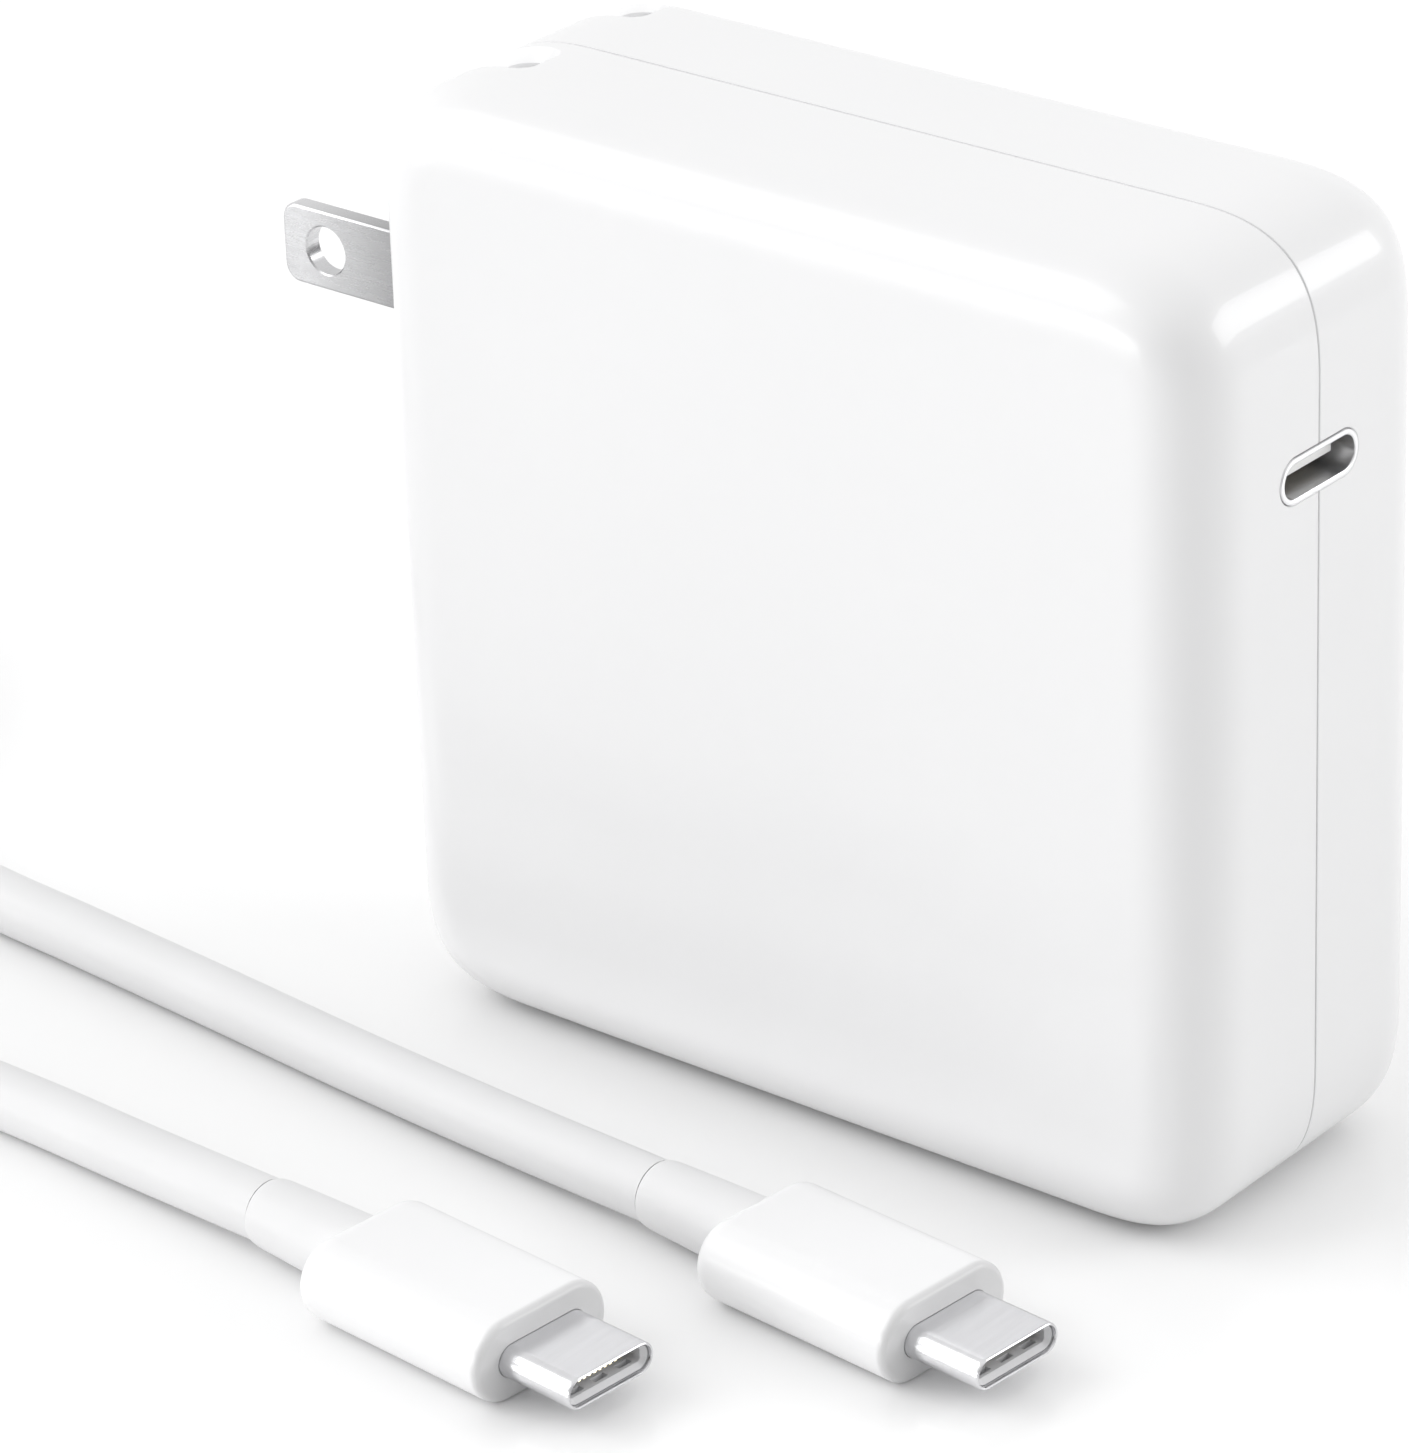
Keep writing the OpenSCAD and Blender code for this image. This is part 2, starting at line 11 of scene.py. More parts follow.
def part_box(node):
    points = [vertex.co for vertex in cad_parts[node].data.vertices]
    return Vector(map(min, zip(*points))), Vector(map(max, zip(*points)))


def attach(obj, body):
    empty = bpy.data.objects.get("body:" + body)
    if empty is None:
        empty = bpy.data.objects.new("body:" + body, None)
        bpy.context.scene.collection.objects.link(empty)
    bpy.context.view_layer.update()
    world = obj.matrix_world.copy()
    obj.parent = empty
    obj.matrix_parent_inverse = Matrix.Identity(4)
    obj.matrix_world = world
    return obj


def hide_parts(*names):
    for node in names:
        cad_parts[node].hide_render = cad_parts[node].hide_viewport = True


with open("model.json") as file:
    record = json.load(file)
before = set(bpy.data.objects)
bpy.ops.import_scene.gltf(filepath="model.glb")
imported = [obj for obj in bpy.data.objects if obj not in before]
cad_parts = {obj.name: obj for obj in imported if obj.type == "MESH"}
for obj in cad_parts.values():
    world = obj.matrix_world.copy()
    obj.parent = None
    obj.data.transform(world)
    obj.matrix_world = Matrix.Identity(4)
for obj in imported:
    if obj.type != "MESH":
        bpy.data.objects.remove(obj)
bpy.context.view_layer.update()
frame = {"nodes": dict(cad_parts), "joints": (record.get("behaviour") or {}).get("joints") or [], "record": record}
NODES = frame["nodes"]
MM = 0.001


# ---------- camera, light and floor ----------

YAW, PITCH, ROLL = (math.radians(a) for a in (39.99, 25.95, -2.12))
TARGET = Vector((-0.01822, 0.0, 0.0219))
DISTANCE = 0.5137
LENS = 170.5
SENSOR = 36
LIT_POINT = Vector((0, 0, 0.037))
WORLD_LEVEL, WORLD_LOW = 0.96, 0.36
WORLD_FADE = (0.4, 1.0)  # cosines between which the surroundings go from level to low


def add_camera():
    """The camera at the photograph's angle, a little rolled."""
    back = Vector(
        (
            math.sin(YAW) * math.cos(PITCH),
            -math.cos(YAW) * math.cos(PITCH),
            math.sin(PITCH),
        )
    )
    right = (-back).cross(Vector((0, 0, 1))).normalized()
    up = right.cross(-back)
    right, up = (
        right * math.cos(ROLL) + up * math.sin(ROLL),
        up * math.cos(ROLL) - right * math.sin(ROLL),
    )
    camera = bpy.data.objects.new("camera", bpy.data.cameras.new("camera"))
    camera.data.lens = LENS
    camera.data.sensor_width = SENSOR
    camera.data.clip_start = 0.01
    rotation = Matrix((right, up, back)).transposed()
    camera.matrix_world = (
        Matrix.Translation(TARGET + back * DISTANCE) @ rotation.to_4x4()
    )
    bpy.context.scene.collection.objects.link(camera)
    bpy.context.scene.camera = camera


def softbox(name, direction, distance, size, power):
    """A rectangular soft light that looks at the adapter's middle from a direction."""
    light = bpy.data.lights.new(name, "AREA")
    light.shape = "RECTANGLE"
    light.size, light.size_y = size
    light.energy = power
    lamp = bpy.data.objects.new(name, light)
    away = Vector(direction).normalized()
    lamp.matrix_world = (
        Matrix.Translation(LIT_POINT + away * distance)
        @ away.to_track_quat("Z", "Y").to_matrix().to_4x4()
    )
    bpy.context.scene.collection.objects.link(lamp)


def add_world():
    """White surroundings that darken smoothly on the side that the tall front corner faces."""
    world = bpy.data.worlds.new("studio")
    world.use_nodes = True
    nodes, links = world.node_tree.nodes, world.node_tree.links
    background = nodes["Background"]
    background.inputs["Color"].default_value = (1, 1, 1, 1)
    place = nodes.new("ShaderNodeTexCoord")
    towards = nodes.new("ShaderNodeVectorMath")
    towards.operation = "DOT_PRODUCT"
    towards.inputs[1].default_value = (math.sin(YAW), -math.cos(YAW), 0)
    links.new(place.outputs["Generated"], towards.inputs[0])
    strength = nodes.new("ShaderNodeMapRange")
    strength.interpolation_type = "SMOOTHSTEP"
    strength.inputs["From Min"].default_value = WORLD_FADE[0]
    strength.inputs["From Max"].default_value = WORLD_FADE[1]
    strength.inputs["To Min"].default_value = WORLD_LEVEL
    strength.inputs["To Max"].default_value = WORLD_LOW
    links.new(towards.outputs["Value"], strength.inputs["Value"])
    links.new(strength.outputs["Result"], background.inputs["Strength"])
    bpy.context.scene.world = world


add_camera()
bpy.context.scene.view_settings.view_transform = "Standard"
add_world()
softbox("key_left", (-0.60, -0.50, 0.62), 1.8, (1.3, 1.0), 8)
softbox("fill_right", (0.72, 0.62, 0.34), 1.8, (1.0, 0.7), 8)
softbox("front_low", (-0.5, -0.86, 0.1), 1.6, (1.4, 0.4), 6.8)


# ---------- mesh helpers ----------


def link(name, mesh):
    """An object of a mesh or curve, put in the scene."""
    obj = bpy.data.objects.new(name, mesh)
    bpy.context.scene.collection.objects.link(obj)
    return obj


def build(name, points, faces):
    """A mesh object from points in millimetres."""
    mesh = bpy.data.meshes.new(name)
    mesh.from_pydata([tuple(MM * float(c) for c in p) for p in points], [], faces)
    work = bmesh.new()
    work.from_mesh(mesh)
    bmesh.ops.remove_doubles(work, verts=work.verts, dist=1e-7)
    bmesh.ops.recalc_face_normals(work, faces=work.faces)
    work.to_mesh(mesh)
    work.free()
    return link(name, mesh)


def loft(name, rings, loop=False):
    """Joins rings of the same number of points; loop closes the last ring onto the first."""
    n, count = len(rings[0]), len(rings)
    points = [p for ring in rings for p in ring]
    faces = [
        (
            i * n + k,
            i * n + (k + 1) % n,
            (i + 1) % count * n + (k + 1) % n,
            (i + 1) % count * n + k,
        )
        for i in range(count if loop else count - 1)
        for k in range(n)
    ]
    if not loop:
        faces += [tuple(range(n)), tuple(range((count - 1) * n, count * n))]
    return build(name, points, faces)


def baked(obj):
    """Applies an object's modifiers."""
    shown = obj.evaluated_get(bpy.context.evaluated_depsgraph_get())
    mesh = bpy.data.meshes.new_from_object(shown)
    obj.modifiers.clear()
    obj.data = mesh


def combine(obj, tools, how="DIFFERENCE"):
    """Cuts tools out of an object, or joins them to it, and deletes the tools."""
    for tool in tools:
        step = obj.modifiers.new("combine", "BOOLEAN")
        step.operation = how
        step.solver = "EXACT"
        step.object = tool
    baked(obj)
    for tool in tools:
        bpy.data.objects.remove(tool)
    return obj


def smooth(obj, angle=32.0):
    """Smooth shading with hard edges kept above an angle."""
    mesh = obj.data
    work = bmesh.new()
    work.from_mesh(mesh)
    for face in work.faces:
        face.smooth = True
    for edge in work.edges:
        edge.smooth = (
            len(edge.link_faces) != 2 or edge.calc_face_angle(0) < math.radians(angle)
        )
    work.to_mesh(mesh)
    work.free()
    even = obj.modifiers.new("even_normals", "WEIGHTED_NORMAL")
    even.keep_sharp = True
    return obj


def corner(radius, power, count):
    """A superelliptic corner from the +X side to the +Y side: points and outward normals."""
    made = []
    for k in range(count + 1):
        a = math.pi / 4 * (1 - math.cos(math.pi * k / count))
        c, s = math.cos(a), math.sin(a)
        e = 1 / (power - 1)
        size = (c ** (power * e) + s ** (power * e)) ** (1 / power)
        x, y = radius * c**e / size, radius * s**e / size
        made.append(((x, y), (c, s)))
    return made


def rounded_outline(half_w, half_h, radius, power=2.0, count=8):
    """A closed rounded rectangle about the origin: points and outward normals."""
    made = []
    quarter = corner(radius, power, count)
    for turn in range(4):
        ca, sa = ((1, 0), (0, 1), (-1, 0), (0, -1))[turn]
        w, h = (half_w, half_h) if turn % 2 == 0 else (half_h, half_w)
        for (x, y), (nx, ny) in quarter:
            x, y = x + w - radius, y + h - radius
            point = (ca * x - sa * y, sa * x + ca * y)
            made.append((point, (ca * nx - sa * ny, sa * nx + ca * ny)))
    return made


def ring(outline, grow, place):
    """An outline grown by a distance; place turns its two coordinates into a point."""
    return [place(x + nx * grow, y + ny * grow) for (x, y), (nx, ny) in outline]


def quarter_profile(inset, depth, power, steps):
    """Rounding of an edge: pairs of (inset, distance short of the end)."""
    return [
        (
            inset * (1 - math.cos(t) ** (2 / power)),
            depth * (1 - math.sin(t) ** (2 / power)),
        )
        for t in (math.pi / 2 * k / steps for k in range(steps + 1))
    ]


def box(name, low, high):
    """A cutting tool: a block between two corners in millimetres."""
    x0, y0, z0 = low
    x1, y1, z1 = high
    base = [(x0, y0), (x1, y0), (x1, y1), (x0, y1)]
    return loft(name, [[(x, y, z) for x, y in base] for z in (z0, z1)])


def rod_y(name, x, z, parts, sides=64):
    """A round tool along Y through (x, z): parts are pairs of (radius, y)."""
    return loft(
        name,
        [
            [
                (
                    x + r * math.cos(2 * math.pi * k / sides),
                    y,
                    z + r * math.sin(2 * math.pi * k / sides),
                )
                for k in range(sides)
            ]
            for r, y in parts
        ],
    )


# ---------- materials ----------

BUMP_HEIGHT = 0.0001
ROUGH_GRAIN = 2.3  # how much finer the roughness varies than the colour


def surface(
    name,
    colour,
    shade=0.03,
    scale=60.0,
    rough=(0.3, 0.36),
    grain=500.0,
    bump=0.05,
    stretch=(1, 1, 1),
    metallic=0.0,
    coat=0.0,
    coat_rough=0.05,
    specular=0.5,
    detail=3.0,
    painted_shade=None,
):
    """A material whose colour, roughness and fine relief vary over the surface.

    The last argument is (source, start, end, factor) and paints shade onto the colour: it goes to
    that factor of itself between two distances in millimetres, along an axis of the object or by a
    mesh attribute.
    """
    material = bpy.data.materials.new(name)
    material.use_nodes = True
    nodes, links = material.node_tree.nodes, material.node_tree.links
    shader = nodes["Principled BSDF"]
    shader.inputs["Metallic"].default_value = metallic
    shader.inputs["Coat Weight"].default_value = coat
    shader.inputs["Coat Roughness"].default_value = coat_rough
    shader.inputs["Specular IOR Level"].default_value = specular
    place = nodes.new("ShaderNodeTexCoord")
    shape = nodes.new("ShaderNodeMapping")
    shape.inputs["Scale"].default_value = stretch
    links.new(place.outputs["Object"], shape.inputs["Vector"])

    def noise(size, roughness):
        node = nodes.new("ShaderNodeTexNoise")
        node.inputs["Scale"].default_value = size
        node.inputs["Detail"].default_value = detail
        node.inputs["Roughness"].default_value = roughness
        links.new(shape.outputs["Vector"], node.inputs["Vector"])
        return node.outputs["Fac"]

    mottle = nodes.new("ShaderNodeValToRGB")
    mottle.color_ramp.elements[0].position = 0.35
    mottle.color_ramp.elements[1].position = 0.65
    mottle.color_ramp.elements[0].color = (*[c * (1 - shade) for c in colour], 1)
    mottle.color_ramp.elements[1].color = (*colour, 1)
    links.new(noise(scale, 0.5), mottle.inputs["Fac"])
    tint = mottle.outputs["Color"]
    # Painted shade: the colour darkens over a range of distances.
    if painted_shade:
        source, start, end, factor = painted_shade
        if source in "XYZ":
            split = nodes.new("ShaderNodeSeparateXYZ")
            links.new(place.outputs["Object"], split.inputs["Vector"])
            distance, unit = split.outputs[source], MM
        else:
            kept = nodes.new("ShaderNodeAttribute")
            kept.attribute_name = source
            distance, unit = kept.outputs["Fac"], 1.0
        reach = nodes.new("ShaderNodeMapRange")
        reach.inputs["From Min"].default_value = start * unit
        reach.inputs["From Max"].default_value = end * unit
        reach.inputs["To Min"].default_value = 1.0
        reach.inputs["To Max"].default_value = factor
        links.new(distance, reach.inputs["Value"])
        scaled = nodes.new("ShaderNodeVectorMath")
        scaled.operation = "SCALE"
        links.new(tint, scaled.inputs[0])
        links.new(reach.outputs["Result"], scaled.inputs["Scale"])
        tint = scaled.outputs["Vector"]
    links.new(tint, shader.inputs["Base Color"])
    spread = nodes.new("ShaderNodeMapRange")
    spread.inputs["From Min"].default_value = 0.3
    spread.inputs["From Max"].default_value = 0.7
    spread.inputs["To Min"].default_value = rough[0]
    spread.inputs["To Max"].default_value = rough[1]
    links.new(noise(scale * ROUGH_GRAIN, 0.55), spread.inputs["Value"])
    links.new(spread.outputs["Result"], shader.inputs["Roughness"])
    relief = nodes.new("ShaderNodeBump")
    relief.inputs["Strength"].default_value = bump
    relief.inputs["Distance"].default_value = BUMP_HEIGHT
    links.new(noise(grain, 0.6), relief.inputs["Height"])
    links.new(relief.outputs["Normal"], shader.inputs["Normal"])
    return material


WHITE = (0.815, 0.815, 0.82)
# Slot: colour, shade, scale, roughness, grain and bump, then anything else that surface() takes.
# The fades are painted shade: they darken a blade towards its root, a grip's front face and the
# depth of a plug's mouth.
LOOKS = {
    "shell_plastic": (WHITE, 0.012, 35, (0.3, 0.36), 900, 0.02, dict(coat=0.35, coat_rough=0.06)),
    "carrier_plastic": ((0.8, 0.8, 0.8), 0.03, 80, (0.42, 0.5), 1500, 0.08, dict()),
    "grip_plastic": (
        (0.86, 0.86, 0.865), 0.012, 60, (0.3, 0.38), 1200, 0.03,
        # painted shade on the grip's front end face
        dict(coat=0.2, coat_rough=0.1, painted_shade=("depth", 7.4, 7.1, 0.8)),
    ),
    "cable_jacket": ((0.77, 0.77, 0.775), 0.02, 90, (0.4, 0.5), 1500, 0.06, dict()),
    "blade_metal": (
        (0.68, 0.68, 0.69), 0.02, 120, (0.24, 0.3), 900, 0.03,
        # painted shade: the blade's reflection darkens towards its root
        dict(stretch=(1, 1, 14), metallic=1.0, painted_shade=("X", -52, -40, 0.4)),
    ),
    "plug_metal": (
        (0.76, 0.76, 0.775), 0.05, 120, (0.16, 0.24), 1200, 0.08,
        dict(stretch=(14, 1, 1), metallic=1.0),
    ),
    "port_metal": (
        (0.86, 0.86, 0.87), 0.05, 120, (0.3, 0.38), 1200, 0.08,
        dict(stretch=(14, 1, 1), metallic=1.0),
    ),
    "port_plastic": ((0.9, 0.9, 0.89), 0.03, 200, (0.35, 0.42), 2500, 0.05, dict()),
    "plug_insert": (
        (0.72, 0.72, 0.73), 0.06, 250, (0.4, 0.5), 2500, 0.06,
        # painted shade deep inside the plug's mouth
        dict(painted_shade=("depth", 1.9, 2.3, 0.12)),
    ),
    "gold": ((0.9, 0.78, 0.52), 0.05, 400, (0.22, 0.3), 3000, 0.05, dict(metallic=1.0)),
    "spring_metal": (
        (0.62, 0.62, 0.63), 0.06, 150, (0.25, 0.35), 1200, 0.1,
        dict(stretch=(1, 10, 1), metallic=1.0),
    ),
    "contact_metal": (
        (0.75, 0.5, 0.3), 0.1, 150, (0.25, 0.38), 1200, 0.1,
        dict(stretch=(10, 1, 1), metallic=1.0),
    ),
    "lead_live": ((0.2, 0.09, 0.04), 0.08, 200, (0.4, 0.5), 2000, 0.05, dict()),
    "lead_neutral": ((0.04, 0.1, 0.4), 0.08, 200, (0.4, 0.5), 2000, 0.05, dict()),
    "board": ((0.02, 0.13, 0.06), 0.3, 250, (0.3, 0.42), 1600, 0.15, dict(detail=6.0)),
    "epoxy_blue": ((0.05, 0.12, 0.42), 0.12, 200, (0.3, 0.45), 1200, 0.2, dict()),
    "epoxy_brown": ((0.25, 0.12, 0.06), 0.12, 200, (0.3, 0.45), 1200, 0.2, dict()),
    "epoxy_green": ((0.04, 0.18, 0.1), 0.12, 200, (0.3, 0.45), 1200, 0.2, dict()),
    "film_yellow": ((0.7, 0.48, 0.06), 0.08, 150, (0.3, 0.4), 900, 0.08, dict()),
    "ferrite": ((0.035, 0.036, 0.04), 0.3, 300, (0.5, 0.65), 1600, 0.4, dict(detail=6.0)),
    "enamel_wire": (
        (0.5, 0.2, 0.07), 0.3, 250, (0.2, 0.35), 900, 0.8,
        dict(stretch=(1, 1, 3), metallic=0.7),
    ),
    "chip_black": ((0.02, 0.02, 0.022), 0.2, 200, (0.45, 0.6), 2500, 0.3, dict()),
    "capacitor_sleeve": ((0.03, 0.04, 0.1), 0.15, 120, (0.2, 0.32), 700, 0.08, dict()),
    "capacitor_can": (
        (0.68, 0.68, 0.7), 0.06, 150, (0.25, 0.35), 1200, 0.1,
        dict(stretch=(1, 10, 1), metallic=1.0),
    ),
    "sink_metal": (
        (0.6, 0.61, 0.63), 0.08, 120, (0.3, 0.45), 900, 0.2,
        dict(stretch=(1, 12, 1), metallic=1.0),
    ),
    "bobbin_plastic": ((0.55, 0.5, 0.38), 0.06, 150, (0.4, 0.5), 1500, 0.1, dict()),
    "winding_tape": ((0.75, 0.55, 0.05), 0.1, 150, (0.25, 0.4), 900, 0.2, dict(stretch=(1, 1, 6))),
    "optocoupler_body": ((0.7, 0.7, 0.66), 0.05, 200, (0.4, 0.5), 2000, 0.1, dict()),
    "insulator_sheet": ((0.7, 0.66, 0.52), 0.1, 90, (0.45, 0.6), 600, 0.2, dict(detail=6.0)),
    "pad_silicone": ((0.35, 0.45, 0.55), 0.08, 150, (0.55, 0.7), 1200, 0.3, dict()),
    "tie_strap": ((0.74, 0.74, 0.74), 0.12, 700, (0.75, 0.9), 2600, 0.9, dict(detail=6.0)),
}
MATERIALS = {slot: surface(slot, *look, **more) for slot, (*look, more) in LOOKS.items()}


def dress(obj, slot):
    """Gives an object the material of a slot."""
    obj.data.materials.clear()
    obj.data.materials.append(MATERIALS[slot])


def piece(obj, slot, *stands_for, body="root"):
    """Finishes a new piece: material, body, and the CAD nodes that it stands for."""
    dress(obj, slot)
    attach(obj, body)
    if stands_for:
        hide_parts(*stands_for)
    return obj


for part in frame["record"]["subparts"]:
    dress(NODES[part["node"]], part["material_slot"])


# ---------- the charging cable's route ----------

CABLE_D = 4.8
LIFT = 0.6
LAYER_1 = LIFT + CABLE_D / 2
COIL_X, COIL_Y = -133.0, -28.0
COIL_OUT = 35.6
ROUTE_A = [
    (1.9, -31, 3.1), (-12, -29.8, 2.7), (-28, -28.3, 2.4), (-44, -26.8, 2.4), (-60, -25.4, 2.4),
    (-71, -24.5, 2.4), (-80, -23.1, 2.4), (-88.5, -19.2, 2.4), (-96, -12.6, 2.5), (-103, -5.2, 2.7),
    (-111.5, 1.6, 2.8), (-122, 6.2, 3),
]
ROUTE_B = [
    (-18.9, -49.2, 3.1), (-32, -48.3, 2.7), (-46, -47.4, 2.4), (-60, -47.6, 2.4), (-74, -49.9, 2.4),
    (-88, -54.4, 2.4), (-102, -60.3, 2.4), (-114, -65.2, 2.4), (-124, -67.8, 2.7),
]
COIL_START = 90.0  # running angle at which the coil begins, in degrees
COIL_STEP = 22.5
TURNS_IN_LAYER = 5
JOG = 80.0  # degrees over which a turn moves over by one cable
IN_JOG, RISE, OUT_JOG = 320.0, 1720.0, 2040.0
DESCENT = (3430.0, 3510.0)


def ease(angle, start, length=JOG):
    """Smooth step from 0 to 1 over a range of angles."""
    t = min(1.0, max(0.0, (angle - start) / length))
    return t * t * (3 - 2 * t)


def coil_point(angle):
    """A point of the coil at a running angle in degrees."""
    inward = sum(ease(angle, IN_JOG + 360 * k) for k in range(TURNS_IN_LAYER - 1))
    outward = sum(ease(angle, OUT_JOG + 360 * k) for k in range(TURNS_IN_LAYER - 1))
    off = math.pi / 2 * ease(angle, DESCENT[0], DESCENT[1] - DESCENT[0])
    down = math.sin(off / 2) ** 2 * 2
    radius = COIL_OUT + CABLE_D * (outward - inward + math.sin(off))
    height = LAYER_1 + CABLE_D * (ease(angle, RISE) - down)
    a = math.radians(angle)
    return (COIL_X + radius * math.cos(a), COIL_Y + radius * math.sin(a), height)


def cable_points():
    """The whole route: run A, the coil from the outside in and out again, and run B."""
    steps = int((DESCENT[1] - COIL_START) / COIL_STEP)
    coil = [coil_point(COIL_START + COIL_STEP * k) for k in range(steps + 1)]
    return ROUTE_A + coil + ROUTE_B[::-1]


def add_cable():
    """The cable as one bevelled curve along its route."""
    points = cable_points()
    data = bpy.data.curves.new("charging_cable", "CURVE")
    data.dimensions = "3D"
    data.bevel_depth = CABLE_D / 2 * MM
    data.bevel_resolution = 8
    data.resolution_u = 8
    data.use_fill_caps = True
    spline = data.splines.new("BEZIER")
    spline.bezier_points.add(len(points) - 1)
    for knot, p in zip(spline.bezier_points, points):
        knot.co = [c * MM for c in p]
        knot.handle_left_type = knot.handle_right_type = "AUTO"
    nodes = ("cable_run_a", "cable_run_b", "cable_coil")
    return piece(link("charging_cable", data), "cable_jacket", *nodes)


cable = add_cable()


# ---------- connectors ----------

SHELL_W, SHELL_H, SHELL_T, SHELL_LEN, SHELL_IN = 8.3, 2.5, 0.25, 6.65, 3.0
GRIP_W, GRIP_H, GRIP_LEN = 12.6, 6.2, 18.5
SLEEVE_LEN = 9.0
WINDOW_MIDS, WINDOW_HALF = (-2.3, 0, 2.3), 0.62
CONTACTS, CONTACT_PITCH, CONTACT_HALF = 12, 0.5, 0.12


def track(width, height, count=14):
    """Outline with fully round ends, in Y and Z."""
    return rounded_outline(width / 2, height / 2, height / 2 - 1e-4, 2.0, count)


def along_x(x):
    """Puts an outline in the plane at a distance along X."""
    return lambda y, z: (x, y, z)


def grip():
    """Moulded housing: racetrack section, rounded ends, and a pocket for the shell."""
    outline = track(GRIP_W, GRIP_H)
    front, rear = -SHELL_LEN, -SHELL_LEN - GRIP_LEN
    rear_edge = quarter_profile(1.5, 1.6, 2.0, 8)
    front_edge = quarter_profile(0.5, 0.5, 2.0, 6)
    rings = [ring(outline, -i, along_x(rear + d)) for i, d in reversed(rear_edge)]
    rings += [ring(outline, -i, along_x(front - d)) for i, d in front_edge]
    mouth = track(SHELL_W + 0.02, SHELL_H + 0.02)
    rings += [ring(mouth, 0.05, along_x(front)), ring(mouth, 0, along_x(front - 0.05))]
    rings += [ring(mouth, 0, along_x(front - SHELL_IN))]
    return loft("grip", rings)


def tube_along_x(name, outline, profile):
    """Closed section swept round an outline: profile gives (growth, x)."""
    return loft(name, [ring(outline, g, along_x(x)) for g, x in profile], loop=True)


def plug_shell():
    """Drawn metal shell with a rolled front rim and a folded seam underneath."""
    outline = track(SHELL_W, SHELL_H)
    t, back = SHELL_T, -SHELL_LEN - SHELL_IN
    shell = tube_along_x(
        "shell",
        outline,
        [
            (0, back), (0, -0.3), (-0.015, -0.14), (-0.06, -0.04), (-t / 2, 0),
            (-t + 0.05, -0.03), (-t + 0.01, -0.1), (-t, -0.3), (-t, back),
        ],
    )
    seam = box("seam", (back - 1, -0.03, -SHELL_H), (-0.6, 0.03, -SHELL_H / 2 + 0.08))
    return combine(shell, [seam])


def plug_insert():
    """Grey liner with the tongue's slot, bevelled lips and three windows above and below."""
    outline = track(SHELL_W - 2 * SHELL_T, SHELL_H - 2 * SHELL_T)
    back = -SHELL_LEN - SHELL_IN + 0.05
    edge = quarter_profile(0.12, 0.12, 2.0, 3)
    rings = [ring(outline, -0.005, along_x(back))]
    rings += [ring(outline, -0.005 - i, along_x(-0.3 - d)) for i, d in edge]
    liner = loft("liner", rings)
    slot = rounded_outline(3.4, 0.55, 0.3, 2.0, 5)
    tool = loft(
        "slot",
        [
            ring(slot, 0, along_x(-5.6)),
            ring(slot, 0, along_x(-0.65)),
            ring(slot, 0.35, along_x(-0.3)),
            ring(slot, 0.6, along_x(0.3)),
        ],
    )
    tools = [tool]
    for k, y in enumerate(WINDOW_MIDS):
        tools.append(box(f"window_{k}", (-1.5, y - WINDOW_HALF, -2), (-0.95, y + WINDOW_HALF, 2)))
    return combine(liner, tools)


def contact_leaves():
    """Twelve sprung contacts above and below the slot, with lifted rounded tips."""
    points, faces = [], []
    side = [(-5.6, 0.55), (-5.6, 0.49), (-2.3, 0.43), (-2.05, 0.42), (-1.9, 0.46), (-1.84, 0.55)]
    for i in range(CONTACTS):
        y = (i - (CONTACTS - 1) / 2) * CONTACT_PITCH
        for s in (-1, 1):
            n = len(points)
            points += [(x, y + w, s * z) for w in (-CONTACT_HALF, CONTACT_HALF) for x, z in side]
            k = len(side)
            faces += [tuple(range(n, n + k)), tuple(range(n + k, n + 2 * k))]
            faces += [(n + j, n + (j + 1) % k, n + k + (j + 1) % k, n + k + j) for j in range(k)]
    return build("contacts", points, faces)


def sleeve():
    """Strain relief: a slightly conical sleeve with a soft step where the cable comes out."""
    rear = -SHELL_LEN - GRIP_LEN - SLEEVE_LEN
    parts = [
        (2.41, 0.0), (2.48, 0.08), (2.55, 0.25), (2.6, 0.6), (2.64, 1.2), (2.78, 5.0),
        (2.88, 8.6), (2.95, 9.6), (2.95, 10.5),
    ]
    sides = 40
    step = 2 * math.pi / sides
    return loft(
        "sleeve",
        [
            [
                (rear + x, r * math.cos(step * k), r * math.sin(step * k))
                for k in range(sides)
            ]
            for r, x in parts
        ],
    )


def add_plug(letter):
    """One connector, drawn along X with its tip at the origin, then put in its place."""
    mount = next(m for m in frame["record"]["mounts"] if m["name"] == f"plug_{letter}")
    heading = math.atan2(mount["axis"][1], mount["axis"][0])
    place = Matrix.Translation(mount["pos_m"]) @ Matrix.Rotation(heading, 4, "Z")
    made = []
    for node, maker, slot in (
        ("grip", grip, "grip_plastic"),
        ("shell", plug_shell, "plug_metal"),
        ("insulator", plug_insert, "plug_insert"),
        ("contacts", contact_leaves, "gold"),
        ("sleeve", sleeve, "cable_jacket"),
    ):
        obj = maker()
        obj.name = f"connector_{letter}_{node}"
        # This depth drives the painted shade on a grip's front face and inside a plug's mouth.
        depth = obj.data.attributes.new("depth", "FLOAT", "POINT")
        for vertex, value in zip(obj.data.vertices, depth.data):
            value.value = -vertex.co.x / MM
        obj.data.transform(place)
        smooth(obj)
        made.append(piece(obj, slot, f"plug_{letter}_{node}"))
    return made


plug_pieces = add_plug("a") + add_plug("b")


# ---------- the coil's strap ----------

STRAP_R, STRAP_T = 2.6, 0.55


